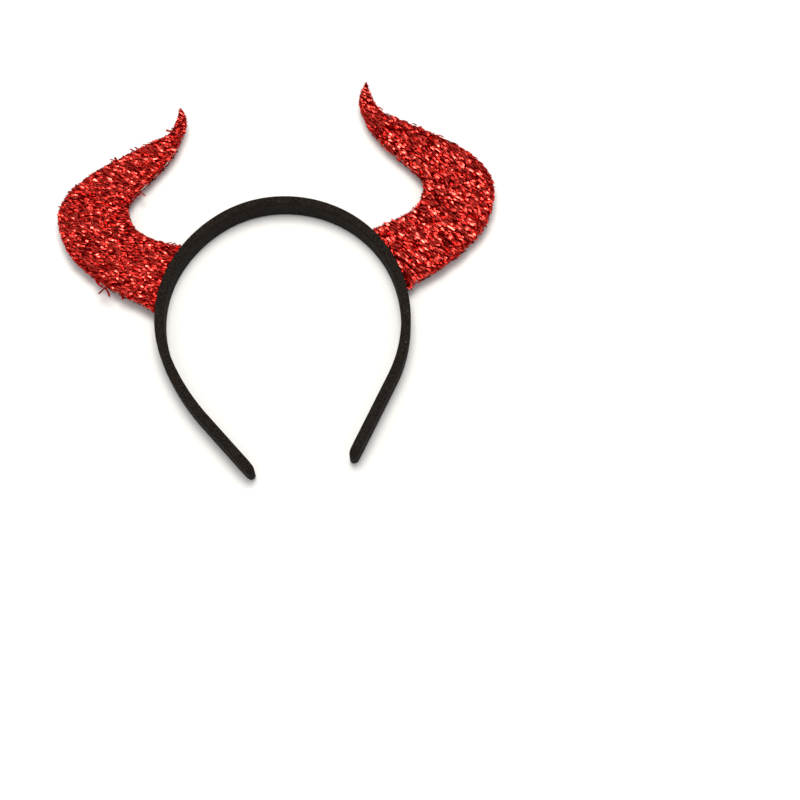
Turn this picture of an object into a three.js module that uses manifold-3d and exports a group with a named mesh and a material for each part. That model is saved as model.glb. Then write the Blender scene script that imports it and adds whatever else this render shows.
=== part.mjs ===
// A devil-horn headband, lying on a table as it is laid out for sale.
// The hoop is a cloth-covered strip bent into a U. It lies on one edge, with its crown towards +Y.
// A flat horn stands out on each side: a pale sheet between two layers of tinsel cloth.
// Millimetres, +Z up. The origin is the middle of the crown's lower edge.
import * as THREE from "three";
import { mergeVertices } from "three/addons/utils/BufferGeometryUtils.js";
import Module from "manifold-3d";

// The hoop's strip, as covered with cloth.
const BAND_WIDTH = 15;
const BAND_THICKNESS = 4.6;
const BAND_CORNER = 1.5;
const CORNER_STEPS = 3;
// Where the strip thins, a corner takes at most this share of its thickness.
const CORNER_SHARE = 0.45;

// The hoop's centre line from the crown to each arm: bends that follow each other, in degrees, and a
// straight arm. The hoop has sprung a little out of shape, so its halves differ.
const LEFT_BENDS = [
  { stretch: "crown", radius: 58, sweep: 25, steps: 5 },
  { stretch: "shoulder", radius: 69.5, sweep: 26, steps: 6 },
  { stretch: "side", radius: 61.5, sweep: 56, steps: 11 },
  { stretch: "top of the arm", radius: 118, sweep: 17, steps: 4 },
];
const LEFT_ARM = 34;
const RIGHT_BENDS = [
  { stretch: "crown", radius: 63, sweep: 31, steps: 6 },
  { stretch: "shoulder", radius: 62, sweep: 48, steps: 10 },
  { stretch: "side", radius: 72, sweep: 44, steps: 9 },
];
const RIGHT_ARM = 43;
const ARM_STEPS = 4;

// An arm's blunt end: the strip's size as shares of the full one, at a distance past the straight run.
const ARM_END = [
  { past: 1.6, thickness: 0.9, width: 0.96 },
  { past: 2.9, thickness: 0.68, width: 0.84 },
  { past: 3.6, thickness: 0.36, width: 0.6 },
];

// The right horn's pattern: sections across it, from its inner edge in the crook to its outer edge,
// and how far the outer edge comes in where the horn is cut slim.
const HORN_SECTIONS = [
  { place: "under the hoop", inner: [46.4, -23.2], outer: [57.5, -59.5], slim: 0 },
  { place: "root", inner: [60.4, -18.3], outer: [74.6, -50.1], slim: 0 },
  { place: "lower arm", inner: [68.5, -15.6], outer: [85.4, -44.9], slim: 0 },
  { place: "start of the bend", inner: [75.9, -11.4], outer: [97.2, -37.2], slim: 0 },
  { place: "elbow", inner: [80.1, -4.8], outer: [110.6, -24.4], slim: 0 },
  { place: "widest", inner: [81.4, 0], outer: [117.3, -4], slim: 0 },
  { place: "shoulder", inner: [80.7, 4], outer: [113.1, 8.4], slim: 0.5 },
  { place: "end of the bend", inner: [76.8, 10.2], outer: [101.2, 20.9], slim: 1 },
  { place: "upper arm", inner: [66.9, 22.2], outer: [84.4, 32.5], slim: 1.6 },
  { place: "neck", inner: [58.9, 33.9], outer: [71.4, 40.8], slim: 2 },
  { place: "hook", inner: [55.6, 43.1], outer: [65, 45.4], slim: 1.8 },
  { place: "bend of the tip", inner: [54.5, 51], outer: [62, 51.2], slim: 1.2 },
  { place: "side of the tip", inner: [55.7, 57.3], outer: [60.2, 56.9], slim: 0.6 },
  { place: "point", inner: [58.7, 63.4], outer: [59.3, 63.2], slim: 0 },
];
const NECK = HORN_SECTIONS.findIndex((section) => section.place === "neck");
const STEPS_PER_SECTION = 3;

// The left horn is the pattern turned over and cut slim. It is glued nearer the crown, by an angle about
// the crown's centre, and leans in about its root. Past the neck it is shorter and bends further in.
const HORNS = [
  { side: "left", mirror: -1, cutSlim: 1, nearerCrown: 3, lean: 6, tipReach: 0.84, tipTurn: 7 },
  { side: "right", mirror: 1, cutSlim: 0, nearerCrown: 0, lean: 0, tipReach: 1, tipTurn: 0 },
];
const CROWN_CENTRE = new THREE.Vector2(0, -RIGHT_BENDS[0].radius);

// The horn's layers lie on each other at the middle of the hoop's width.
const CORE_THICKNESS = 1.8;
const GAP = 0.3;

// A cloth layer's height over its flat side, at a distance in from the horn's edge.
const CLOTH_RIM = [
  { inset: 0, height: 0.7 },
  { inset: 0.5, height: 1.5 },
  { inset: 1.6, height: 2.1 },
  { inset: 4, height: 2.6 },
  { inset: 9, height: 2.9 },
];
const FULL_INSET = CLOTH_RIM.at(-1).inset;
// A section too narrow for the whole rim gives it this share of its half width, and is lower.
const RIM_SHARE = 0.9;
const POINT_HEIGHT_SHARE = 0.5;

const LOOKS = {
  blackCloth: new THREE.MeshStandardMaterial({ color: 0x2a2420, roughness: 0.95, metalness: 0 }),
  redTinsel: new THREE.MeshStandardMaterial({ color: 0xab302a, roughness: 0.3, metalness: 0.8 }),
  paleSheet: new THREE.MeshStandardMaterial({ color: 0xe6d3bf, roughness: 0.9, metalness: 0 }),
};

const { degToRad } = THREE.MathUtils;
const wasm = await Module();
wasm.setup();

// A closed skin over rings of equally many points. Seen from the next ring, each ring runs anticlockwise.
function skin(rings) {
  const count = rings[0].length;
  const last = (rings.length - 1) * count;
  const faces = [];
  for (let start = 0; start < last; start += count) {
    for (let k = 0; k < count; k++) {
      const a = start + k;
      const b = start + ((k + 1) % count);
      faces.push(a, b, a + count, b, b + count, a + count);
    }
  }
  for (let k = 1; k + 1 < count; k++) {
    faces.push(0, k + 1, k, last, last + k, last + k + 1);
  }
  return new THREE.BufferGeometry().setFromPoints(rings.flat()).setIndex(faces);
}

function solidOf(geometry) {
  geometry.deleteAttribute("normal");
  geometry.deleteAttribute("uv");
  const { attributes, index } = mergeVertices(geometry);
  const triVerts = new Uint32Array(index.array);
  const mesh = new wasm.Mesh({ numProp: 3, vertProperties: attributes.position.array, triVerts });
  return new wasm.Manifold(mesh);
}

function geometryOf(solid) {
  const { vertProperties, triVerts } = solid.getMesh();
  const geometry = new THREE.BufferGeometry();
  geometry.setAttribute("position", new THREE.BufferAttribute(vertProperties, 3));
  return geometry.setIndex(new THREE.BufferAttribute(triVerts, 1));
}

function piece(name, geometry, look) {
  geometry.computeVertexNormals();
  const mesh = new THREE.Mesh(geometry, look);
  mesh.name = name;
  return mesh;
}

// A section's point, set across a line that runs on a heading in the plane, anticlockwise from +X.
function across(place, heading, offset, height) {
  const x = place.x - offset * Math.sin(heading);
  const y = place.y + offset * Math.cos(heading);
  return new THREE.Vector3(x, y, height);
}

// Stations along half the hoop: place, heading, and the strip's size as shares of the full one.
function halfHoop(bends, armLength) {
  const stations = [{ place: new THREE.Vector2(), heading: 0, thickness: 1, width: 1 }];
  for (const { radius, sweep, steps } of bends) {
    const { place, heading } = stations.at(-1);
    const centre = across(place, heading, -radius, 0);
    for (let i = 1; i <= steps; i++) {
      const turned = heading - degToRad((sweep * i) / steps);
      stations.push({ place: across(centre, turned, radius, 0), heading: turned, thickness: 1, width: 1 });
    }
  }
  const { place, heading } = stations.at(-1);
  const ahead = (distance) => across(place, heading - Math.PI / 2, distance, 0);
  for (let i = 1; i <= ARM_STEPS; i++) {
    stations.push({ place: ahead((armLength * i) / ARM_STEPS), heading, thickness: 1, width: 1 });
  }
  for (const { past, thickness, width } of ARM_END) {
    stations.push({ place: ahead(armLength + past), heading, thickness, width });
  }
  return stations;
}

// The strip's outline with round corners: x points out of the hoop, y up from the middle of the width.
function stripSection(thickness, width) {
  const corner = Math.min(BAND_CORNER, CORNER_SHARE * thickness);
  const x = thickness / 2 - corner;
  const y = width / 2 - corner;
  const corners = [
    { x, y, start: 0 },
    { x: -x, y, start: 0.5 * Math.PI },
    { x: -x, y: -y, start: Math.PI },
    { x, y: -y, start: 1.5 * Math.PI },
  ];
  return corners.flatMap((at) => {
    const arc = new THREE.EllipseCurve(at.x, at.y, corner, corner, at.start, at.start + Math.PI / 2);
    return arc.getPoints(CORNER_STEPS);
  });
}

// Stations along the whole hoop, from the left arm's end to the right one's.
function wholeHoop() {
  const left = halfHoop(LEFT_BENDS, LEFT_ARM).slice(1).reverse();
  const mirrored = left.map(({ place, heading, ...size }) => {
    return { place: new THREE.Vector2(-place.x, place.y), heading: -heading, ...size };
  });
  return [...mirrored, ...halfHoop(RIGHT_BENDS, RIGHT_ARM)];
}

function coveredHoop() {
  const rings = wholeHoop().map(({ place, heading, thickness, width }) => {
    const outline = stripSection(BAND_THICKNESS * thickness, BAND_WIDTH * width);
    return outline.map(({ x, y }) => across(place, heading, x, BAND_WIDTH / 2 + y));
  });
  return skin(rings);
}

// All that lies inside the hoop's outer face, or within a gap of it, to cut the horns' roots with.
function insideOfHoop(gap) {
  const reach = BAND_THICKNESS / 2 + gap;
  const outline = wholeHoop().map(({ place, heading }) => across(place, heading, reach, 0));
  const shape = new THREE.Shape(outline.reverse());
  return new THREE.ExtrudeGeometry(shape, { depth: BAND_WIDTH, bevelEnabled: false });
}

// A turn in the plane about a place, anticlockwise in degrees.
function turnAbout({ x, y }, angle) {
  const turn = new THREE.Matrix4().makeRotationZ(degToRad(angle));
  const back = new THREE.Matrix4().makeTranslation(-x, -y, 0);
  return new THREE.Matrix4().makeTranslation(x, y, 0).multiply(turn).multiply(back);
}

// The two edges of a horn as curves over the pattern's sections.
function hornEdges({ cutSlim, tipReach, tipTurn }) {
  const sections = HORN_SECTIONS.map(({ inner, outer, slim }) => {
    const innerPoint = new THREE.Vector3(...inner, 0);
    const outerPoint = new THREE.Vector3(...outer, 0);
    const inwards = innerPoint.clone().sub(outerPoint).normalize();
    return [innerPoint, outerPoint.addScaledVector(inwards, cutSlim * slim)];
  });
  const neck = sections[NECK][0].clone().lerp(sections[NECK][1], 0.5);
  const bend = turnAbout(neck, tipTurn);
  for (const point of sections.slice(NECK + 1).flat()) {
    point.sub(neck).multiplyScalar(tipReach).add(neck).applyMatrix4(bend);
  }
  return [0, 1].map((edge) => new THREE.CatmullRomCurve3(sections.map((section) => section[edge])));
}

// One layer of a horn. Its profile gives the section's points, anticlockwise, for half a width.
function hornLayer(horn, profile) {
  const { mirror, nearerCrown, lean } = horn;
  const [innerEdge, outerEdge] = hornEdges(horn);
  const root = innerEdge.getPoint(0).lerp(outerEdge.getPoint(0), 0.5);
  const seat = new THREE.Matrix4()
    .makeScale(mirror, 1, 1)
    .multiply(turnAbout(CROWN_CENTRE, nearerCrown))
    .multiply(turnAbout(root, lean));
  const steps = (HORN_SECTIONS.length - 1) * STEPS_PER_SECTION;
  const rings = [];
  for (let i = 0; i <= steps; i++) {
    const inner = innerEdge.getPoint(i / steps);
    const outer = outerEdge.getPoint(i / steps);
    const middle = inner.clone().lerp(outer, 0.5);
    const half = inner.distanceTo(outer) / 2;
    const acrossWay = inner.clone().sub(middle).divideScalar(half);
    const ring = profile(half).map(({ x, y }) => {
      const point = middle.clone().addScaledVector(acrossWay, x);
      return point.setZ(BAND_WIDTH / 2 + y).applyMatrix4(seat);
    });
    rings.push(ring);
  }
  return skin(mirror < 0 ? rings.map((ring) => ring.reverse()) : rings);
}

// The pale sheet is a plain slab out to the horn's edge.
function coreProfile(half) {
  const y = CORE_THICKNESS / 2;
  return [
    { x: -half, y: -y },
    { x: half, y: -y },
    { x: half, y },
    { x: -half, y },
  ];
}

// The upper cloth lies flat on the sheet and is rounded over at its rims.
function frontProfile(half) {
  const base = CORE_THICKNESS / 2 + GAP;
  const fit = Math.min(1, (RIM_SHARE * half) / FULL_INSET);
  const share = THREE.MathUtils.lerp(POINT_HEIGHT_SHARE, 1, fit);
  const rim = CLOTH_RIM.map(({ inset, height }) => ({ x: half - fit * inset, y: base + share * height }));
  const farRim = rim.map(({ x, y }) => ({ x: -x, y })).reverse();
  return [{ x: -half, y: base }, { x: half, y: base }, ...rim, ...farRim];
}

// The lower cloth is the upper one turned over.
function backProfile(half) {
  return frontProfile(half)
    .map(({ x, y }) => ({ x, y: -y }))
    .reverse();
}

const headband = new THREE.Group();
headband.add(piece("band", coveredHoop(), LOOKS.blackCloth));

// Each layer's root is cut to the hoop's outer face.
const cutter = solidOf(insideOfHoop(GAP));
const LAYERS = [
  { layer: "front", profile: frontProfile, look: LOOKS.redTinsel },
  { layer: "core", profile: coreProfile, look: LOOKS.paleSheet },
  { layer: "back", profile: backProfile, look: LOOKS.redTinsel },
];
for (const horn of HORNS) {
  for (const { layer, profile, look } of LAYERS) {
    const cut = solidOf(hornLayer(horn, profile)).subtract(cutter);
    headband.add(piece(`horn_${horn.side}_${layer}`, geometryOf(cut), look));
  }
}

export default headband;
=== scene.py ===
"""A devil-horn headband: a cloth-covered hoop with two flat tinsel horns, lying on a pale floor."""
import math
from typing import NamedTuple

import bmesh
import bpy
import numpy as np
from bpy.props import FloatProperty, FloatVectorProperty, IntProperty, PointerProperty
from mathutils import Matrix, Vector
from mathutils.bvhtree import BVHTree


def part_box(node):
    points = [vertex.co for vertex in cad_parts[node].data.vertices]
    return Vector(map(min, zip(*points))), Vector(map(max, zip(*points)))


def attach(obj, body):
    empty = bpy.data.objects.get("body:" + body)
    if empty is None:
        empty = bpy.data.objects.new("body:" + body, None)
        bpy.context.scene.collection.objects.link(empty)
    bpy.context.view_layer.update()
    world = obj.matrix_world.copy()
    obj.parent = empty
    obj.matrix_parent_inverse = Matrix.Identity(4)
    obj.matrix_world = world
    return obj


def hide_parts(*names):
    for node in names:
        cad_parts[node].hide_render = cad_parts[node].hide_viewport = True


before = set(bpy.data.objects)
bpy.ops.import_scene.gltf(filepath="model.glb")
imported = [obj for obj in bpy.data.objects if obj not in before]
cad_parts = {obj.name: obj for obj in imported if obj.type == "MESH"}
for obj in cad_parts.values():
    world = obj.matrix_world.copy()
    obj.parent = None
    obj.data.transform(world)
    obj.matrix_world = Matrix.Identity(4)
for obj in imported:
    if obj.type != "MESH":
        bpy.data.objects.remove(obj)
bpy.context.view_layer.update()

bl_info = {
    "name": "Devil-Horn Headband",
    "version": (1, 0, 0),
    "blender": (4, 5, 0),
    "location": "View3D > Sidebar > Headband",
    "description": "Builds a cloth-covered hoop with two tinsel horns, and a stage for it",
    "category": "Add Mesh",
}

MM = 0.001
BODY = "root"
MERGE_DISTANCE = 0.001 * MM


# Shape of the hoop

class Bend(NamedTuple):
    """A stretch of the hoop's centre line: its radius in millimetres and its turn in degrees."""

    radius: float
    sweep: float


class Half(NamedTuple):
    """One half of the hoop from the crown on: its bends, and its straight arm in millimetres."""

    bends: dict
    arm: float


LEFT_HALF = Half(
    bends={
        "crown": Bend(58, 25),
        "shoulder": Bend(69.5, 26),
        "side": Bend(61.5, 56),
        "top of the arm": Bend(118, 17),
    },
    arm=34,
)
RIGHT_HALF = Half(
    bends={
        "crown": Bend(63, 31),
        "shoulder": Bend(62, 48),
        "side": Bend(72, 44),
    },
    arm=43,
)


class EndStep(NamedTuple):
    """A step of an arm's blunt end: how far past the arm it is, in millimetres, and the strip's size
    there as shares of the full one."""

    past: float
    thickness: float
    width: float


ARM_END = (
    EndStep(-1.6, 1.0, 0.985),
    EndStep(-0.4, 0.99, 0.96),
    EndStep(0.8, 0.965, 0.92),
    EndStep(1.7, 0.91, 0.87),
    EndStep(2.5, 0.80, 0.80),
    EndStep(3.1, 0.64, 0.70),
    EndStep(3.5, 0.44, 0.58),
    EndStep(3.7, 0.22, 0.44),
)
# How far the strip's middle drops at an end, as a share of what its half width loses there
END_DROP = 0.55

CORNER_SIDES = 6
FACE_CUTS = 5
STATIONS_PER_RIB = 4


# Shape of the horns

class Layer(NamedTuple):
    """A cloth layer of a horn: its CAD name, its name here, which way it faces, and how far its rim is
    cut back in millimetres."""

    cad: str
    name: str
    faces: int
    cut_back: float


LAYERS = (Layer("front", "upper", 1, 0.0), Layer("back", "lower", -1, 0.55))


class Ease(NamedTuple):
    """A place where a horn's rim is eased: where it is, how far round it this reaches, and how far the
    rim moves out, in millimetres."""

    side: str
    x: float
    y: float
    reach: float
    out: float


EASES = (
    Ease("left", -32.5, 53.5, 8.0, 1.9),
    Ease("right", 47.5, 54.0, 8.0, 1.4),
    Ease("right", 65.5, -57.0, 7.0, -2.3),
)


class Ripple(NamedTuple):
    """A ripple over a horn: its height, and how far it runs in two directions for each radian."""

    height: float
    first: float
    second: float

    def at(self, first, second):
        return self.height * np.sin(first / self.first + second / self.second)


# How the rows of tinsel sway, along and across them
SWAY = (Ripple(0.35 * MM, 11 * MM, math.inf), Ripple(0.25 * MM, 4.3 * MM, 6 * MM))
# Slopes of the cloth's slow swells in x and in y
SWELLS_IN_X = (Ripple(0.05, 5.1 * MM, 8.3 * MM), Ripple(0.04, 2.9 * MM, -3.7 * MM))
SWELLS_IN_Y = (Ripple(0.05, -9.1 * MM, 4.7 * MM), Ripple(0.04, 2.3 * MM, 3.3 * MM))
# The pale sheet's rim is drawn in by this much, give or take the product of two ripples
DRAWN_IN = 0.45 * MM
RAGGED = Ripple(0.35 * MM, 1.9 * MM, 5.3 * MM)
UNEVEN = Ripple(1.0, -7.1 * MM, 2.3 * MM)
# A point belongs to the rim when its normal leans this far from the vertical
RIM_LEAN = 0.3

REFINING_PASSES = 4
LONGEST_SHEET_EDGE = 1.5 * MM
LONGEST_CLOTH_EDGE = 1.2 * MM
# Half the depth of the valleys between rows, as a share of the rows' distance
ROW_SHARE = 0.08


# Lie of the tinsel

class Lie(NamedTuple):
    """How the tinsel lies on a horn. Angles are in degrees, and lengths in millimetres."""

    side: str
    strips: float  # heading of the strips
    rows: float  # heading of the rows
    pitch: float  # from one row to the next
    spacing: float  # from one strip of a row to the next
    length: float  # of a strip
    bow: float  # of a strip
    rounding: float  # how steeply the rows are rounded
    roll: float  # usual turn of a strip about its length
    # Painted shade: this darkens the strips that lie down in the valleys between the rows
    valley_shade: float  # how much darker the valleys between the rows are
    loose: float  # share of the loose course that is laid
    # A high tip tone, as on the right horn, is partly a painted highlight where the tip catches the light
    tip_tone: float  # tone at the tip of the horn
    tip_lean: float  # slope of the strips at the tip
    # The dip also paints shade: strips near the band are made darker where the band shades the tucked-in
    # cloth
    dip_and_band_shade: float  # slope of the strips where the cloth meets the band


LIES = (
    Lie(side="left", strips=-24, rows=-27, pitch=1.85, spacing=1.35, length=2.25, bow=0.12, rounding=0.5,
        roll=24, valley_shade=0.55, loose=0.25, tip_tone=0.6, tip_lean=-0.02, dip_and_band_shade=0.65),
    Lie(side="right", strips=-47, rows=21, pitch=4.1, spacing=0.72, length=3.1, bow=0.25, rounding=0.6,
        roll=36, valley_shade=0.42, loose=0.1, tip_tone=0.95, tip_lean=-0.04, dip_and_band_shade=0.15),
)


class Course(NamedTuple):
    """A course of tinsel strips on a cloth."""

    offset: float  # how far it is set off from the rows, as a share of their distance
    size: float  # of its strips, as a share of the usual one
    stand: float  # height over the cloth in millimetres
    bright: float  # the tones are a beta distribution with these two weights
    dark: float
    swing: float  # how far the headings stray, in degrees


# The low course's tones lean dark: painted shade on the strips that lie low between the rows
LOW_COURSE = Course(offset=0.5, size=0.85, stand=0.10, bright=1.1, dark=2.5, swing=11)
HIGH_COURSE = Course(offset=0.0, size=1.0, stand=0.45, bright=1.7, dark=1.0, swing=12)
LOOSE_COURSE = Course(offset=0.25, size=0.8, stand=0.70, bright=2.0, dark=1.0, swing=24)
COURSES = (LOW_COURSE, HIGH_COURSE, LOOSE_COURSE)
FRINGE = Course(offset=0.0, size=0.7, stand=0.08, bright=1.1, dark=1.9, swing=14)

# Spots for each square millimetre: all that are scattered, and those on the rim that get a strip
SCATTER_DENSITY = 3.0
FRINGE_DENSITY = 1.6
# Upright share of the normal: under the first the fringe starts, and under the second the bare back
FRINGE_SLOPE = 0.75
BACK_SLOPE = -0.4
# How far a strip strays from its cell's middle, in cells
STRAYING = 0.16
# Stations along a strip, and the share of its bow at each
STRIP_STATIONS = np.array([-0.5, -0.18, 0.18, 0.5])
STRIP_BOW = np.array([0.1, 0.9, 1.0, 0.2])
# Strips get smaller over the tip's length, and are pressed flat at its very end
TIP_LENGTH = 22 * MM
TIP_SHARE = 0.7
PRESSED_TIP = 9 * MM
PRESSED_SHARE = 0.25
# How far from the band the strips still dip towards it, and are darkened by painted shade
DIP_LENGTH = 2.6 * MM
# How much strips differ from the usual one
ROLL_RANGE = (0.1, 1.2)
BOW_RANGE = (0.4, 1.6)
STAND_RANGE = (0.3, 1.5)
TWIST = math.radians(5)
LENGTH_SPREAD = 0.18
WIDTH_SPREAD = 0.2
SPREAD_LIMITS = (0.5, 1.5)


class Stray(NamedTuple):
    """A loose strand of tinsel: where it leaves a horn and its length in millimetres, its heading and
    curl in degrees, and its tone."""

    side: str
    x: float
    y: float
    heading: float
    length: float
    curl: float
    tone: float


STRAYS = (
    Stray("left", -93.0, -29.9, -75, 6.8, 45, 0.05),
    Stray("left", -88.6, -35.0, -132, 5.0, -6, 0.05),
    Stray("left", -89.0, -34.9, -54, 6.7, -38, 0.1),
    Stray("left", -80.4, -39.9, -86, 2.9, -6, 0.05),
    Stray("left", -78.1, -41.2, -53, 3.4, 0, 0.05),
    Stray("left", -76.0, 33.4, 117, 5.4, 59, 0.4),
    Stray("left", -76.3, 35.2, 122, 2.3, 0, 0.0),
    Stray("left", -66.7, 39.2, 139, 2.8, 7, 0.5),
    Stray("left", -64.6, 40.2, 139, 2.5, 2, 0.6),
    Stray("left", -72.2, 36.2, 124, 1.7, 7, 0.1),
    Stray("left", -86.2, 29.6, 126, 2.0, 0, 0.0),
    Stray("left", -98.0, 22.8, 126, 2.0, -9, 0.0),
    Stray("left", -100.1, 21.1, 136, 2.0, -8, 0.15),
    Stray("left", -101.8, 19.4, 135, 2.1, -7, 0.1),
    Stray("left", -94.1, 24.8, 95, 2.1, 1, 0.0),
    Stray("left", -46.7, 48.1, 142, 2.9, 27, 0.8),
    Stray("left", -66.6, 16.1, -40, 4.0, 5, 0.8),
    Stray("left", -55.4, -14.9, 10, 3.2, -8, 0.3),
    Stray("left", -53.1, -15.9, 20, 2.8, -15, 0.0),
    Stray("left", -52.9, -16.5, 4, 3.1, 5, 0.9),
    Stray("left", -51.2, -17.5, 8, 3.6, -5, 0.6),
    Stray("left", -50.5, -18.1, 6, 2.9, 0, 0.4),
    Stray("right", 84.4, 31.8, 95, 2.2, 10, 0.1),
    Stray("right", 72.4, 39.0, 110, 2.0, 10, 0.0),
)
STRAY_STATIONS = 7
STRAY_WIDTH = 1.15 * MM
# Height of the strands over the upper cloth's lower side
STRAY_HEIGHT = 1.2 * MM
# Climb for each step forwards, and turn about the length in radians with its change from step to step
CLIMB_RANGE = (-0.15, 0.25)
STRAY_ROLL_RANGE = (0.4, 0.65)
STRAY_TWIST = 0.08


# Settings

def length_prop(label, words, value):
    """A property for a length in metres."""
    return FloatProperty(name=label, description=words, default=value, min=0, precision=5,
                         subtype="DISTANCE", unit="LENGTH")


def angle_prop(label, words, degrees):
    """A property for an angle, from its default in degrees."""
    return FloatProperty(name=label, description=words, default=math.radians(degrees),
                         subtype="ANGLE", unit="ROTATION")


def colour_prop(label, words, value):
    """A property for a linear colour."""
    return FloatVectorProperty(name=label, description=words, default=value, size=3, min=0, max=1,
                               subtype="COLOR")


class BandSettings(bpy.types.PropertyGroup):
    """Sizes and colours of the covered hoop."""

    width: length_prop("Width", "Width of the strip, which stands on edge", 15 * MM)
    thickness: length_prop("Thickness", "Thickness of the covered strip", 5.0 * MM)
    corner: length_prop("Corner", "Radius of the strip's rounded corners", 1.5 * MM)
    rib_pitch: length_prop("Rib pitch", "Distance from one rib of the cloth to the next", 1.0 * MM)
    rib_height: length_prop("Rib height", "How far a rib stands over the groove beside it", 0.12 * MM)
    cloth: colour_prop("Cloth", "Colour of the cloth on its ribs", (0.0202, 0.0150, 0.0119))
    # Dark end of the cloth's colour: dark yarn, and painted shade in the grooves between the ribs
    dark_yarn_and_groove_shade: colour_prop("Groove", "Colour of the cloth between its ribs", (0.0066, 0.0049, 0.0039))
    lint: colour_prop("Lint", "Colour of specks of lint", (0.10, 0.085, 0.075))


class HornSettings(bpy.types.PropertyGroup):
    """Sizes and colours of the horns' sheets, cloth and tinsel."""

    strip_width: length_prop("Strip width", "Usual width of a tinsel strip", 0.70 * MM)
    rise: angle_prop("Rise", "Usual tilt of a strip from end to end", 7)
    seed: IntProperty(name="Seed", description="Start of the strips' random draws", default=7)
    foil: colour_prop("Foil", "Colour of the tinsel", (0.82, 0.057, 0.039))
    deep_foil: colour_prop("Deep foil", "Colour of the darkest tinsel", (0.38, 0.002, 0.001))
    ground: colour_prop("Ground", "Colour of the knitted ground under the tinsel", (0.14, 0.001, 0.001))
    sheet: colour_prop("Sheet", "Colour of the pale sheet between the cloths", (0.80, 0.68, 0.58))


class StageSettings(bpy.types.PropertyGroup):
    """The floor, the lights and the camera."""

    floor: colour_prop("Floor", "Colour of the floor", (0.90, 0.90, 0.90))
    floor_size: length_prop("Floor size", "Length of the floor's sides", 6.0)
    ambient: FloatProperty(name="Ambient", description="Strength of the light from all round",
                           default=0.55, min=0)
    ambient_tint: colour_prop("Ambient tint", "Colour of the light from all round", (1, 0.98, 0.975))
    elevation: angle_prop("Camera elevation", "Angle of the view above the floor", 72)
    azimuth: angle_prop("Camera azimuth", "Turn of the view about the vertical", -7.54)
    distance: length_prop("Camera distance", "From the camera to the point it aims at", 1.0)
    focal_length: FloatProperty(name="Focal length", description="Focal length in millimetres",
                                default=88.4, min=1, subtype="DISTANCE_CAMERA", unit="CAMERA")


CAMERA_AIM = Vector((53.9, -111.9, 0)) * MM


class Lamp(NamedTuple):
    """A square soft light: its place, aim and side in metres, its power in watts and its tint."""

    name: str
    place: tuple
    aim: tuple
    side: float
    power: float
    tint: tuple


LAMPS = (
    Lamp("key_light", (0.04, 0.17, 1.1), (0.02, -0.04, 0), 0.44, 8.6, (1, 0.97, 0.90)),
    Lamp("overhead_light", (0.0, 0.1, 1.5), (0.02, -0.04, 0), 1.6, 5, (1, 1, 1)),
)


# Shader nodes

class Socket:
    """A shader's output that takes Python's operators: each adds a Math node."""

    def __init__(self, tree, output):
        self.tree = tree
        self.output = output

    def math(self, operation, *values):
        """A Math node with these values."""
        node = self.tree.nodes.new("ShaderNodeMath")
        node.operation = operation
        for entry, value in zip(node.inputs, values):
            plug(self.tree, entry, value)
        return Socket(self.tree, node.outputs[0])

    def __add__(self, other):
        return self.math("ADD", self, other)

    def __sub__(self, other):
        return self.math("SUBTRACT", self, other)

    def __rsub__(self, other):
        return self.math("SUBTRACT", other, self)

    def __mul__(self, other):
        return self.math("MULTIPLY", self, other)

    __radd__ = __add__
    __rmul__ = __mul__

    def wave(self):
        """One cosine wave for each whole step of the value, from 0 to 1."""
        return self.math("COSINE", self * math.tau) * 0.5 + 0.5

    def span(self, low, high):
        """Goes from low to high as the value goes from 0 to 1."""
        return self * (high - low) + low


def plug(tree, entry, value):
    """Links a socket to a node's entry, or sets a plain value there."""
    if isinstance(value, Socket):
        tree.links.new(value.output, entry)
    elif isinstance(entry, bpy.types.NodeSocketColor) and len(value) == 3:
        entry.default_value = (*value, 1)
    else:
        entry.default_value = value


class Finish:
    """A material with one Principled shader, and the nodes that feed it."""

    def __init__(self, name, **constants):
        self.material = bpy.data.materials.new(name)
        self.material.use_nodes = True
        self.tree = self.material.node_tree
        self.shader = self.tree.nodes["Principled BSDF"]
        for entry, value in constants.items():
            self.feed(entry.replace("_", " "), value)

    def node(self, kind, settings=None, sockets=None, output=0):
        """Adds a node: its settings first, then its sockets. Gives one of its outputs."""
        node = self.tree.nodes.new("ShaderNode" + kind)
        for key, value in (settings or {}).items():
            setattr(node, key, value)
        for key, value in (sockets or {}).items():
            plug(self.tree, node.inputs[key], value)
        return Socket(self.tree, node.outputs[output])

    def place(self, scale=(1, 1, 1), turn=0.0):
        """Object coordinates, scaled and turned about the vertical."""
        here = self.node("TexCoord", output="Object")
        sockets = {"Vector": here, "Scale": scale, "Rotation": (0, 0, turn)}
        return self.node("Mapping", sockets=sockets)

    def noise(self, where, grains, detail):
        """Soft noise from 0 to 1 with this many grains a metre."""
        sockets = {"Vector": where, "Scale": grains, "Detail": detail, "Roughness": 0.5}
        return self.node("TexNoise", sockets=sockets)

    def ramp(self, value, low, high):
        """0 below low, 1 above high and smooth between them."""
        sockets = {"Value": value, "From Min": low, "From Max": high}
        return self.node("MapRange", {"interpolation_type": "SMOOTHSTEP"}, sockets)

    def attribute(self, name):
        """A number that the piece's mesh carries."""
        return self.node("Attribute", {"attribute_name": name}, output="Fac")

    def blend(self, share, first, second):
        """Goes from the first colour to the second as the share goes from 0 to 1."""
        return self.node("Mix", {"data_type": "RGBA"}, {0: share, 6: first, 7: second}, output=2)

    def feed(self, entry, value):
        """Feeds an entry of the shader."""
        plug(self.tree, self.shader.inputs[entry], value)

    def bump(self, height, depth, strength):
        """Feeds the shader's normal from a height between 0 and 1, with this depth in metres."""
        sockets = {"Height": height, "Distance": depth, "Strength": strength}
        self.feed("Normal", self.node("Bump", sockets=sockets))


def dimmed(colour, share):
    """A colour with this share of its light."""
    return tuple(share * channel for channel in colour)


# Finishes, with the grains a metre of their noises

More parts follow.
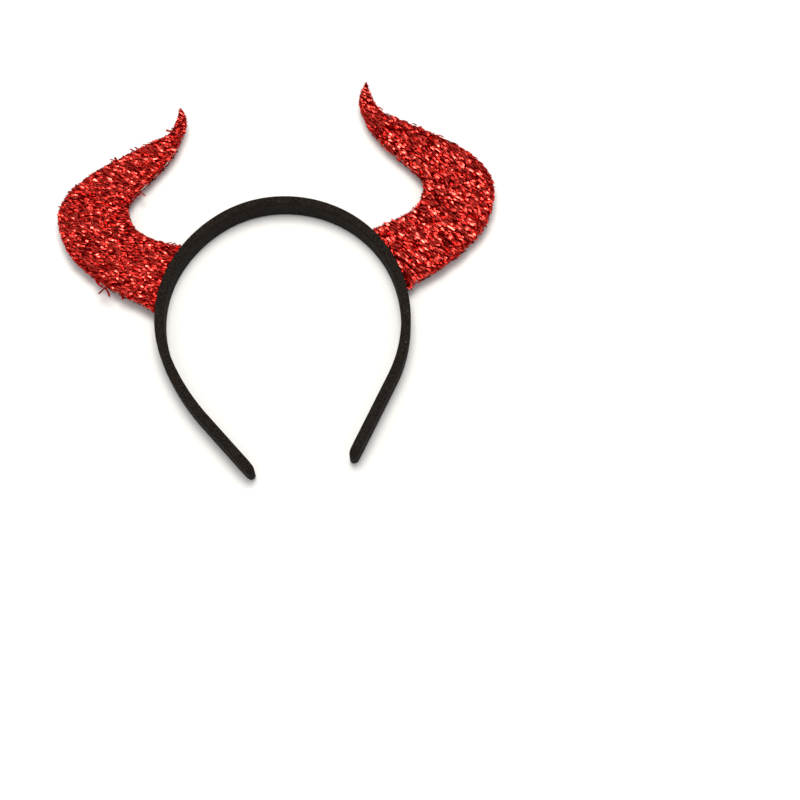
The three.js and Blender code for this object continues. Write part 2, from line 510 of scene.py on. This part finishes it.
MOTTLE_GRAINS = 900
WEAVE_GRAINS = 4200
YARN_GRAINS = 1500
LINT_GRAINS = 700
LOOP_GRAINS = 1500
CREASE_GRAINS = 1400
FIBRE_GRAINS = 2600
STAIN_GRAINS = 140


def band_cloth(settings):
    """Matte black ribbed cloth with a fine weave, a few specks of lint, and painted shade in the grooves
    between its ribs.
    """
    finish = Finish("band_cloth", Specular_IOR_Level=0.08)
    where = finish.place()
    rib = (finish.attribute("along") * (1 / settings.rib_pitch)).wave()
    mottle = finish.noise(where, MOTTLE_GRAINS, detail=2)
    weave = finish.noise(where, WEAVE_GRAINS, detail=1)
    yarn = finish.ramp(finish.noise(where, YARN_GRAINS, detail=0), 0.3, 0.7)
    lint = finish.ramp(finish.noise(where, LINT_GRAINS, detail=0), 0.81, 0.86)
    # Painted shade: the cloth darkens towards the grooves between the ribs, on top of its random dark and
    # light yarns
    cloth = finish.blend(rib * 0.35 + yarn * 1.6 - 0.45, settings.dark_yarn_and_groove_shade, settings.cloth)
    finish.feed("Base Color", finish.blend(lint * 0.6, cloth, settings.lint))
    finish.feed("Roughness", mottle.span(0.78, 0.98))
    finish.bump(weave * 0.6 + rib * 0.4, depth=0.06 * MM, strength=0.7)
    return finish.material


def knitted_ground(settings, lie):
    """The dark red knit that the tinsel stands on, with its rows, and painted shade in the valleys
    between them.
    """
    finish = Finish("knitted_ground_" + lie.side, Specular_IOR_Level=0.0)
    turned = finish.place(turn=-math.radians(lie.rows))
    across = finish.node("SeparateXYZ", sockets={0: turned}, output="Y")
    rows = (across * (1 / (lie.pitch * MM))).wave()
    loops = finish.noise(turned, LOOP_GRAINS, detail=2)
    # Painted shade: the knit darkens towards the valleys between the rows, mixed with its randomly darker
    # loops
    valley_shade_and_dark_loops = dimmed(settings.ground, 0.35)
    finish.feed("Base Color", finish.blend(rows * 0.5 + loops * 0.6 - 0.1, valley_shade_and_dark_loops, settings.ground))
    finish.feed("Roughness", loops.span(0.6, 0.9))
    finish.bump(rows * 0.6 + loops * 0.4, depth=0.3 * MM, strength=1)
    return finish.material


def tinsel_foil(settings):
    """Red metal foil: every strip has its own tone, and is a little creased."""
    finish = Finish("tinsel_foil", Metallic=1.0, Specular_Tint=(0.9, 0.15, 0.11), Coat_Roughness=0.15)
    tone = finish.attribute("tone")
    crease = finish.noise(finish.place(), CREASE_GRAINS, detail=1)
    # The tone carries painted shade as well: darker in the valleys between the rows and next to the band,
    # on top of each strip's own random tone
    finish.feed("Base Color", finish.blend(tone, settings.deep_foil, settings.foil))
    finish.feed("Roughness", tone * -0.17 + crease * 0.1 + 0.27)
    finish.feed("Coat Weight", tone.span(0.05, 0.45))
    finish.bump(crease, depth=0.03 * MM, strength=0.3)
    return finish.material


def felted_sheet(settings):
    """Pale felt, with fibres and a faint stain."""
    finish = Finish("felted_sheet", Roughness=0.95, Sheen_Weight=0.1)
    fibres = finish.noise(finish.place(scale=(1, 1, 3)), FIBRE_GRAINS, detail=3)
    stain = finish.noise(finish.place(), STAIN_GRAINS, detail=2)
    worn = dimmed(settings.sheet, 0.72)
    finish.feed("Base Color", finish.blend(fibres * 0.7 + stain * 0.5 - 0.1, worn, settings.sheet))
    finish.bump(fibres, depth=0.12 * MM, strength=0.8)
    return finish.material


# Objects and meshes

def add(name, data):
    """Adds an object with this data to the scene."""
    thing = bpy.data.objects.new(name, data)
    bpy.context.scene.collection.objects.link(thing)
    return thing


def put(name, mesh, material):
    """Adds a finished piece that rides on the headband."""
    piece = add(name, mesh)
    mesh.materials.clear()
    mesh.materials.append(material)
    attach(piece, BODY)
    return piece


def mesh_of(bm, name):
    """Makes a smooth-shaded mesh of a bmesh, and frees it."""
    mesh = bpy.data.meshes.new(name)
    bm.to_mesh(mesh)
    bm.free()
    mesh.shade_smooth()
    return mesh


def coordinates(mesh):
    """A mesh's points as rows of an array."""
    points = np.empty(len(mesh.vertices) * 3)
    mesh.vertices.foreach_get("co", points)
    return points.reshape(-1, 3)


def normals(mesh):
    """A mesh's smooth normals as rows of an array."""
    found = np.empty(len(mesh.vertices) * 3)
    mesh.vertex_normals.foreach_get("vector", found)
    return found.reshape(-1, 3)


def set_coordinates(mesh, points):
    """Moves a mesh's points to these rows of an array."""
    mesh.vertices.foreach_set("co", points.ravel())
    mesh.update()


def unit(rows):
    """Rows of an array at length one."""
    return rows / np.maximum(np.linalg.norm(rows, axis=1, keepdims=True), 1e-9)


def nearest(mesh, spots):
    """The places on a mesh that are nearest to spots, and its normals there."""
    faces = [tuple(face.vertices) for face in mesh.polygons]
    tree = BVHTree.FromPolygons([Vector(point) for point in coordinates(mesh)], faces)
    hits = [tree.find_nearest(spot) for spot in spots]
    return np.array([hit[0] for hit in hits]), np.array([hit[1] for hit in hits])


# Covered band

class Station(NamedTuple):
    """A place on the hoop's centre line: its distance from the crown, its heading, and the strip's size
    there as shares of the full one."""

    run: float
    place: Vector
    heading: float
    thickness: float = 1.0
    width: float = 1.0


def stations(half, step):
    """Stations from the crown to an arm's end along one half of the hoop, as if it went right."""
    found = [Station(0.0, Vector((0, 0)), 0.0)]
    for bend in half.bends.values():
        radius, sweep = bend.radius * MM, math.radians(bend.sweep)
        start = found[-1]
        centre = start.place + radius * Vector((math.sin(start.heading), -math.cos(start.heading)))
        steps = round(radius * sweep / step)
        for k in range(1, steps + 1):
            heading = start.heading - sweep * k / steps
            place = centre + radius * Vector((-math.sin(heading), math.cos(heading)))
            found.append(Station(start.run + radius * sweep * k / steps, place, heading))
    start = found[-1]
    forwards = Vector((math.cos(start.heading), math.sin(start.heading)))
    straight = (half.arm + ARM_END[0].past) * MM
    steps = round(straight / step) - 1
    for k in range(1, steps + 1):
        run = straight * k / (steps + 1)
        found.append(Station(start.run + run, start.place + forwards * run, start.heading))
    for end in ARM_END:
        run = (half.arm + end.past) * MM
        place = start.place + forwards * run
        found.append(Station(start.run + run, place, start.heading, end.thickness, end.width))
    return found


def mirrored(station):
    """The same station on the left half."""
    place = Vector((-station.place.x, station.place.y))
    return station._replace(run=-station.run, place=place, heading=-station.heading)


def strip_outline(band):
    """The strip's outline as (out, up) rows: a circle with its quarters drawn apart and its flats cut."""
    bm = bmesh.new()
    bmesh.ops.create_circle(bm, radius=band.corner, segments=4 * CORNER_SIDES)
    half_side = Matrix.Rotation(math.pi / (4 * CORNER_SIDES), 3, "Z")
    bmesh.ops.rotate(bm, matrix=half_side, verts=bm.verts)
    for vert in bm.verts:
        vert.co.x += math.copysign(band.thickness / 2 - band.corner, vert.co.x)
        vert.co.y += math.copysign(band.width / 2 - band.corner, vert.co.y)
    flats = [edge for edge in bm.edges if edge.calc_length() > band.corner]
    bmesh.ops.subdivide_edges(bm, edges=flats, cuts=FACE_CUTS)
    edge = bm.edges[:][0]
    first = vert = edge.verts[0]
    outline = []
    while not outline or vert is not first:
        outline.append(vert.co.xy[:])
        vert = edge.other_vert(vert)
        edge = next(other for other in vert.link_edges if other is not edge)
    bm.free()
    return np.array(outline)


def hoop_mesh(band):
    """A grid bent round into the hoop. Each point keeps its distance from the crown."""
    step = band.rib_pitch / STATIONS_PER_RIB
    left = [mirrored(station) for station in stations(LEFT_HALF, step)[1:]]
    path = left[::-1] + stations(RIGHT_HALF, step)
    outline = strip_outline(band)
    bm = bmesh.new()
    around, lengthwise = len(outline), len(path) - 1
    bmesh.ops.create_grid(bm, x_segments=around, y_segments=lengthwise, size=0.5)
    along = bm.verts.layers.float.new("along")
    for vert in bm.verts:
        out, up = outline[round((vert.co.x + 0.5) * around) % around]
        at = path[round((vert.co.y + 0.5) * lengthwise)]
        vert[along] = at.run
        reach = out * at.thickness
        vert.co.x = at.place.x - reach * math.sin(at.heading)
        vert.co.y = at.place.y + reach * math.cos(at.heading)
        vert.co.z = band.width / 2 * (1 - END_DROP * (1 - at.width)) + up * at.width
    bmesh.ops.remove_doubles(bm, verts=bm.verts, dist=MERGE_DISTANCE)
    bmesh.ops.holes_fill(bm, edges=[edge for edge in bm.edges if edge.is_boundary])
    bmesh.ops.recalc_face_normals(bm, faces=bm.faces)
    return mesh_of(bm, "covered_band")


def press_grooves(mesh, band):
    """Presses the grooves between the cloth's ribs into the hoop."""
    run = np.empty(len(mesh.vertices))
    mesh.attributes["along"].data.foreach_get("value", run)
    rise = (np.cos(math.tau * run / band.rib_pitch) - 1) / 2 * band.rib_height
    set_coordinates(mesh, coordinates(mesh) + normals(mesh) * rise[:, None])


class HEADBAND_OT_covered_band(bpy.types.Operator):
    """Bend a strip of ribbed cloth round into the covered hoop"""

    bl_idname = "headband.covered_band"
    bl_label = "Covered Band"

    def execute(self, context):
        band = context.scene.headband_band
        mesh = hoop_mesh(band)
        press_grooves(mesh, band)
        piece = put("covered_band", mesh, band_cloth(band))
        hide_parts("band")
        return {"FINISHED"}


# Layers of the horns

def merged_copy(node):
    """A node's solid as a bmesh, with its loose triangles joined and its stored normals left out."""
    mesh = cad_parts[node].data.copy()
    stored = mesh.attributes.get("custom_normal")
    if stored:
        mesh.attributes.remove(stored)
    bm = bmesh.new()
    bm.from_mesh(mesh)
    bpy.data.meshes.remove(mesh)
    bmesh.ops.remove_doubles(bm, verts=bm.verts, dist=MERGE_DISTANCE)
    return bm


def fine_mesh(node, longest):
    """A mesh of a node's solid, whose edges longer than this are cut in half a few times over."""
    bm = merged_copy(node)
    for _ in range(REFINING_PASSES):
        edges = [edge for edge in bm.edges if edge.calc_length() > longest]
        bmesh.ops.subdivide_edges(bm, edges=edges, cuts=1)
        bmesh.ops.triangulate(bm, faces=bm.faces)
    return mesh_of(bm, node)


def ease_rim(lie, points, facing):
    """Moves the points of a horn's rim that are to be eased out or in."""
    for ease in EASES:
        if ease.side == lie.side:
            away = np.hypot(points[:, 0] / MM - ease.x, points[:, 1] / MM - ease.y) / ease.reach
            points[:, :2] += facing[:, :2] * (ease.out * MM * np.exp(-away**2))[:, None]


def draw_in_rim(mesh, lie):
    """Draws a sheet's rim in a little between the cloths, unevenly."""
    points, outwards = coordinates(mesh), normals(mesh)
    ease_rim(lie, points, outwards)
    outwards[:, 2] = 0
    rim = np.linalg.norm(outwards, axis=1) > RIM_LEAN
    x, y = points[rim, 0], points[rim, 1]
    depth = DRAWN_IN + RAGGED.at(x, y) * UNEVEN.at(x, y)
    points[rim] -= unit(outwards[rim]) * depth[:, None]
    set_coordinates(mesh, points)


class HEADBAND_OT_pale_sheets(bpy.types.Operator):
    """Lay the pale sheet inside each horn"""

    bl_idname = "headband.pale_sheets"
    bl_label = "Pale Sheets"

    def execute(self, context):
        felt = felted_sheet(context.scene.headband_horns)
        for lie in LIES:
            node = f"horn_{lie.side}_core"
            mesh = fine_mesh(node, LONGEST_SHEET_EDGE)
            draw_in_rim(mesh, lie)
            piece = put(f"{lie.side}_pale_sheet", mesh, felt)
            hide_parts(node)
        return {"FINISHED"}


def row_axes(lie):
    """Unit vectors along and across the rows of tinsel."""
    turn = math.radians(lie.rows)
    along = np.array([math.cos(turn), math.sin(turn), 0])
    return along, np.array([-math.sin(turn), math.cos(turn), 0])


def row_phase(lie, points):
    """How many rows of tinsel lie before each point, counted across the rows."""
    turn = math.radians(lie.rows)
    along = points[:, 0] * math.cos(turn) + points[:, 1] * math.sin(turn)
    across = points[:, 1] * math.cos(turn) - points[:, 0] * math.sin(turn)
    sway = sum(ripple.at(along, across) for ripple in SWAY)
    return (across + sway) / (lie.pitch * MM)


def ground_mesh(node, lie, layer):
    """A cloth layer with the valleys between its rows pressed in, and its rim eased and cut back."""
    mesh = fine_mesh(node, LONGEST_CLOTH_EDGE)
    points, facing = coordinates(mesh), normals(mesh)
    free = np.clip(facing[:, 2] * layer.faces, 0, 1)
    rise = ROW_SHARE * lie.pitch * MM * (np.cos(math.tau * row_phase(lie, points)) - 1)
    points[:, 2] += layer.faces * free * rise
    ease_rim(lie, points, facing)
    points[:, :2] -= facing[:, :2] * layer.cut_back * MM
    set_coordinates(mesh, points)
    return mesh


class HEADBAND_OT_tinsel_cloth(bpy.types.Operator):
    """Lay the two tinsel cloths of each horn, with their pile"""

    bl_idname = "headband.tinsel_cloth"
    bl_label = "Tinsel Cloth"

    def execute(self, context):
        horns = context.scene.headband_horns
        foil = tinsel_foil(horns)
        for index, lie in enumerate(LIES):
            ground = knitted_ground(horns, lie)
            for layer in LAYERS:
                node = f"horn_{lie.side}_{layer.cad}"
                name = f"{lie.side}_{layer.name}"
                cloth = put(f"{name}_cloth", ground_mesh(node, lie, layer), ground)
                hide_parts(node)
                random = np.random.default_rng([horns.seed, index, layer.faces + 1])
                pile = pile_mesh(cloth.data, horns, lie, layer, random)
                tinsel = put(f"{name}_tinsel", pile, foil)
        return {"FINISHED"}


# Tinsel

def ribbons(points, tone, name):
    """Ribbons as one mesh, from (ribbon, station, edge) points, with a tone for each ribbon."""
    count, length = points.shape[:2]
    first = np.arange(count)[:, None] * length * 2 + np.arange(length - 1) * 2
    quads = np.stack([first, first + 2, first + 3, first + 1], -1).reshape(-1, 4)
    mesh = bpy.data.meshes.new(name)
    mesh.from_pydata(points.reshape(-1, 3).tolist(), [], quads.tolist())
    mesh.shade_smooth()
    tones = mesh.attributes.new("tone", "FLOAT", "POINT")
    tones.data.foreach_set("value", np.repeat(tone, length * 2).astype(np.float32))
    return mesh


def scatter(mesh, layer, random):
    """Points spread evenly over the free side of a cloth, and the normals there."""
    mesh.calc_loop_triangles()
    corners = np.empty(len(mesh.loop_triangles) * 3, int)
    mesh.loop_triangles.foreach_get("vertices", corners)
    corners = corners.reshape(-1, 3)
    points, facing = coordinates(mesh), normals(mesh)
    a, b, c = (points[corners[:, k]] for k in range(3))
    cross = np.cross(b - a, c - a)
    area = np.linalg.norm(cross, axis=1) / 2
    area[unit(cross)[:, 2] * layer.faces < BACK_SLOPE] = 0
    count = round(area.sum() / MM**2 * SCATTER_DENSITY)
    chosen = random.choice(len(area), count, p=area / area.sum())
    u, v = random.random((2, count, 1))
    turned = u + v > 1
    u, v = np.where(turned, 1 - u, u), np.where(turned, 1 - v, v)
    spots = a[chosen] * (1 - u - v) + b[chosen] * u + c[chosen] * v
    n = [facing[corners[chosen, k]] for k in range(3)]
    return spots, unit(n[0] * (1 - u - v) + n[1] * u + n[2] * v)


def in_rows(lie, course, spots, random):
    """One spot from each cell of a course's rows, moved near its cell's middle, and how far it strays
    across the rows, in cells."""
    along, across = row_axes(lie)
    row_at = row_phase(lie, spots) + course.offset
    row = np.round(row_at)
    step_at = spots @ along / (lie.spacing * MM) + row / 2 + course.offset
    step = np.round(step_at)
    kept = np.unique(np.stack([row, step], 1), axis=0, return_index=True)[1]
    astray, early = random.normal(0, STRAYING, (2, len(kept)))
    sideways = (astray + (row - row_at)[kept]) * lie.pitch * MM
    onwards = (early + (step - step_at)[kept]) * lie.spacing * MM
    return spots[kept] + sideways[:, None] * across + onwards[:, None] * along, astray


def swells(spots):
    """Slow swells of the cloth, as the slopes that they give it."""
    x, y = spots[:, 0], spots[:, 1]
    slope_x = sum(ripple.at(x, y) for ripple in SWELLS_IN_X)
    slope_y = sum(ripple.at(x, y) for ripple in SWELLS_IN_Y)
    return np.stack([slope_x, slope_y, np.zeros(len(spots))], 1)


def spread(random, deviation, count):
    """Random shares round 1, without the far ones."""
    return np.clip(random.normal(1, deviation, count), *SPREAD_LIMITS)


def strips(horns, lie, course, spots, facing, astray, random):
    """Strips of foil on these spots of a cloth, as (strip, station, edge) points, and their tones."""
    count = len(spots)
    heading = math.radians(lie.strips) + random.normal(0, math.radians(course.swing), count)
    lay = np.stack([np.cos(heading), np.sin(heading), random.normal(0, horns.rise, count)], 1)

    from_tip = spots[:, 1].max() - spots[:, 1]
    loosened = np.clip(from_tip / PRESSED_TIP - PRESSED_SHARE, PRESSED_SHARE, 1)
    to_band = nearest(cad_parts["band"].data, spots)[0] - spots
    dip_and_band_shade = lie.dip_and_band_shade * np.exp(-((np.linalg.norm(to_band, axis=1) / DIP_LENGTH) ** 2))
    lean = np.outer(1 - loosened, [0, lie.tip_lean, 0]) + unit(to_band) * dip_and_band_shade[:, None]
    rounding = row_axes(lie)[1] * (astray * lie.rounding)[:, None]
    up = unit(facing + rounding + swells(spots) + lean)
    on_rim = np.abs(facing[:, 2:]) < FRINGE_SLOPE
    run = unit(lay - up * (lay * up).sum(1, keepdims=True) * on_rim)
    side = unit(np.cross(up, run))
    up = np.cross(run, side)

    roll = random.normal(0, math.radians(lie.roll), count) * random.uniform(*ROLL_RANGE, count) * loosened
    twist = random.normal(0, TWIST, count)
    size = course.size * (np.clip(from_tip / TIP_LENGTH, 0, 1) * (1 - TIP_SHARE) + TIP_SHARE)
    length = lie.length * MM * spread(random, LENGTH_SPREAD, count) * size
    width = horns.strip_width * spread(random, WIDTH_SPREAD, count) * size
    bow = lie.bow * MM * random.uniform(*BOW_RANGE, count) * size
    stand = course.stand * MM * random.uniform(*STAND_RANGE, count)
    points = np.empty((count, len(STRIP_STATIONS), 2, 3))
    for k, (station, arch) in enumerate(zip(STRIP_STATIONS, STRIP_BOW)):
        angle = (roll + twist * station * 2)[:, None]
        edge = (np.cos(angle) * side + np.sin(angle) * up) * (width / 2)[:, None]
        lift = stand + bow * arch + np.abs(np.sin(angle[:, 0])) * width / 2
        middle = spots + run * (length * station)[:, None] + up * lift[:, None]
        points[:, k, 0] = middle - edge
        points[:, k, 1] = middle + edge

    # Painted shade: tones are darkened in the valleys between the rows and next to the band; at the
    # pressed tip they ease towards the tip tone
    depth = (1 - np.cos(math.tau * row_phase(lie, spots))) / 2
    tone = random.beta(course.bright, course.dark, count) * (1 - lie.valley_shade * depth) * (1 - dip_and_band_shade)
    return points, lie.tip_tone + (tone - lie.tip_tone) * loosened


def pile_mesh(cloth, horns, lie, layer, random):
    """Strips of foil over the free side of a cloth: courses in rows, and a fringe round its rim."""
    spots, facing = scatter(cloth, layer, random)
    level = facing[:, 2] * layer.faces > FRINGE_SLOPE
    made = []
    for course in COURSES:
        laid, astray = in_rows(lie, course, spots[level], random)
        if course is LOOSE_COURSE:
            some = random.permutation(len(laid))[:round(len(laid) * lie.loose)]
            laid, astray = laid[some], astray[some]
        laid, upright = nearest(cloth, laid)
        made.append(strips(horns, lie, course, laid, upright, astray, random))
    rim = np.flatnonzero(~level)
    rim = rim[random.random(len(rim)) < FRINGE_DENSITY / SCATTER_DENSITY]
    made.append(strips(horns, lie, FRINGE, spots[rim], facing[rim], np.zeros(len(rim)), random))
    points, tones = (np.concatenate(parts) for parts in zip(*made))
    return ribbons(points, tones, "tinsel")


def strand(stray, height, random):
    """A curled strand of foil that leaves a horn at this height, as (station, edge) points."""
    place = Vector((stray.x * MM, stray.y * MM, height))
    heading = math.radians(stray.heading)
    step = stray.length * MM / (STRAY_STATIONS - 1)
    climb = random.uniform(*CLIMB_RANGE)
    roll = random.choice([-1, 1]) * random.uniform(*STRAY_ROLL_RANGE)
    points = np.empty((STRAY_STATIONS, 2, 3))
    for k in range(STRAY_STATIONS):
        side = Vector((-math.sin(heading), math.cos(heading), 0))
        edge = (side * math.cos(roll) + Vector((0, 0, math.sin(roll)))) * STRAY_WIDTH / 2
        points[k] = place - edge, place + edge
        place = place + Vector((math.cos(heading), math.sin(heading), climb)) * step
        heading += math.radians(stray.curl) / (STRAY_STATIONS - 1)
        roll += random.uniform(-STRAY_TWIST, STRAY_TWIST)
    return points


class HEADBAND_OT_loose_strands(bpy.types.Operator):
    """Add the loose strands that stand out of the horns' edges"""

    bl_idname = "headband.loose_strands"
    bl_label = "Loose Strands"

    def execute(self, context):
        horns = context.scene.headband_horns
        random = np.random.default_rng([horns.seed, len(STRAYS)])
        foil = bpy.data.materials["tinsel_foil"]
        for lie in LIES:
            rows = [stray for stray in STRAYS if stray.side == lie.side]
            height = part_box(f"horn_{lie.side}_front")[0].z + STRAY_HEIGHT
            points = np.stack([strand(stray, height, random) for stray in rows])
            mesh = ribbons(points, [stray.tone for stray in rows], "loose_strands")
            put(f"{lie.side}_loose_strands", mesh, foil)
        return {"FINISHED"}


# Stage

def facing_along(direction):
    """The turn that points a light or a camera in this direction."""
    return direction.to_track_quat("-Z", "Y").to_euler()


def lay_floor(stage):
    """Lays a plain square floor."""
    bm = bmesh.new()
    bmesh.ops.create_grid(bm, x_segments=1, y_segments=1, size=stage.floor_size / 2)
    finish = Finish("pale_floor", Base_Color=tuple(stage.floor), Roughness=0.85, Specular_IOR_Level=0.1)
    floor = add("floor", mesh_of(bm, "floor"))
    floor.data.materials.append(finish.material)


def hang_lights(stage, scene):
    """Hangs the soft lights, and lights the scene from all round."""
    for lamp in LAMPS:
        light = bpy.data.lights.new(lamp.name, "AREA")
        light.shape = "SQUARE"
        light.size = lamp.side
        light.energy = lamp.power
        light.color = lamp.tint
        stand = add(lamp.name, light)
        stand.location = lamp.place
        stand.rotation_euler = facing_along(Vector(lamp.aim) - Vector(lamp.place))
    scene.world = bpy.data.worlds.new("studio")
    scene.world.use_nodes = True
    background = scene.world.node_tree.nodes["Background"]
    background.inputs["Strength"].default_value = stage.ambient
    background.inputs["Color"].default_value = (*stage.ambient_tint, 1)


def set_camera(stage, scene):
    """Sets the camera at its angle to the floor."""
    lens = bpy.data.cameras.new("camera")
    lens.lens = stage.focal_length
    level = math.cos(stage.elevation)
    back = Vector((math.sin(stage.azimuth) * level, -math.cos(stage.azimuth) * level,
                   math.sin(stage.elevation)))
    scene.camera = add("camera", lens)
    scene.camera.location = CAMERA_AIM + back * stage.distance
    scene.camera.rotation_euler = facing_along(-back)


class HEADBAND_OT_stage(bpy.types.Operator):
    """Set out the floor, the lights and the camera"""

    bl_idname = "headband.stage"
    bl_label = "Stage"

    def execute(self, context):
        stage = context.scene.headband_stage
        lay_floor(stage)
        hang_lights(stage, context.scene)
        set_camera(stage, context.scene)
        context.scene.view_settings.view_transform = "Standard"
        return {"FINISHED"}


# Add-on

class HEADBAND_PT_sidebar(bpy.types.Panel):
    """Build the headband"""

    bl_idname = "HEADBAND_PT_sidebar"
    bl_label = "Headband"
    bl_space_type = "VIEW_3D"
    bl_region_type = "UI"
    bl_category = "Headband"

    def draw(self, context):
        for operator in OPERATORS:
            self.layout.operator(operator.bl_idname)
        for name, kind in SETTINGS.items():
            box = self.layout.box()
            for prop in kind.__annotations__:
                box.prop(getattr(context.scene, name), prop)


OPERATORS = (
    HEADBAND_OT_covered_band,
    HEADBAND_OT_pale_sheets,
    HEADBAND_OT_tinsel_cloth,
    HEADBAND_OT_loose_strands,
    HEADBAND_OT_stage,
)
SETTINGS = {
    "headband_band": BandSettings,
    "headband_horns": HornSettings,
    "headband_stage": StageSettings,
}
CLASSES = (*SETTINGS.values(), *OPERATORS, HEADBAND_PT_sidebar)


def register():
    for kind in CLASSES:
        bpy.utils.register_class(kind)
    for name, kind in SETTINGS.items():
        setattr(bpy.types.Scene, name, PointerProperty(type=kind))


def unregister():
    for name in SETTINGS:
        delattr(bpy.types.Scene, name)
    for kind in reversed(CLASSES):
        bpy.utils.unregister_class(kind)


def main():
    register()
    bpy.ops.headband.covered_band()
    bpy.ops.headband.pale_sheets()
    bpy.ops.headband.tinsel_cloth()
    bpy.ops.headband.loose_strands()
    bpy.ops.headband.stage()


if __name__ == "__main__":
    main()
